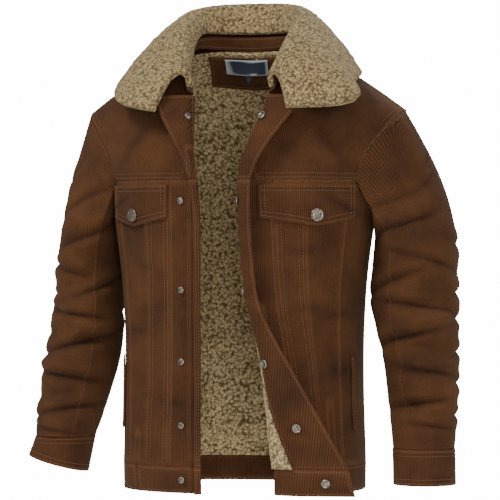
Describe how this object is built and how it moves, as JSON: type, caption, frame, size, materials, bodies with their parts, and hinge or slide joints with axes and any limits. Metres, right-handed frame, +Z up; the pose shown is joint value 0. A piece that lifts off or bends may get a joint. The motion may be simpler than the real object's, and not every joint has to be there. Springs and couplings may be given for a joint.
{
  "type": "sherpa lined jacket",
  "caption": "Brown corduroy trucker jacket with a tan sherpa lining and wide sherpa collar, worn open, filled out with no wearer.",
  "frame": {"origin": "middle of the neck at the height of the shoulders' high points", "axes": "+Z up, +X to the wearer's left, -Y to the front"},
  "size_m": [0.6483, 0.3159, 0.7331],
  "materials": {
    "corduroy": "matte",
    "sherpa": "matte",
    "antique_metal": "satin",
    "ring_snap": "satin",
    "woven_label": "matte"
  },
  "bodies": {
    "root": {"back_panel": "corduroy", "back_yoke": "corduroy", "collar_stand": "corduroy", "collar_top": "sherpa", "collar_under": "corduroy", "cuff_left": "corduroy", "cuff_right": "corduroy", "facing_left": "corduroy", "facing_right": "corduroy", "front_inner_panel_left": "corduroy", "front_inner_panel_right": "corduroy", "front_middle_panel_left": "corduroy", "front_middle_panel_right": "corduroy", "front_placket_left": "corduroy", "front_placket_right": "corduroy", "front_side_panel_left": "corduroy", "front_side_panel_right": "corduroy", "front_yoke_left": "corduroy", "front_yoke_right": "corduroy", "lapel_facing_left": "corduroy", "lapel_facing_right": "corduroy", "lining_back": "sherpa", "lining_back_yoke": "sherpa", "lining_front_left": "sherpa", "lining_front_right": "sherpa", "lining_yoke_left": "sherpa", "lining_yoke_right": "sherpa", "neck_label": "woven_label", "neck_patch": "corduroy", "pocket_button_left": "antique_metal", "pocket_button_right": "antique_metal", "pocket_flap_left": "corduroy", "pocket_flap_right": "corduroy", "pocket_welt_left": "corduroy", "pocket_welt_right": "corduroy", "size_tab": "woven_label", "sleeve_top_left": "corduroy", "sleeve_top_right": "corduroy", "sleeve_under_left": "corduroy", "sleeve_under_right": "corduroy", "snap_ring_1": "ring_snap", "snap_ring_2": "ring_snap", "snap_ring_3": "ring_snap", "snap_ring_4": "ring_snap", "snap_ring_5": "ring_snap", "snap_ring_6": "ring_snap", "snap_stud_1": "antique_metal", "snap_stud_2": "antique_metal", "snap_stud_3": "antique_metal", "snap_stud_4": "antique_metal", "snap_stud_5": "antique_metal", "snap_stud_6": "antique_metal", "waistband_back": "corduroy", "waistband_front_left": "corduroy", "waistband_front_right": "corduroy"}
  },
  "joints": []
}
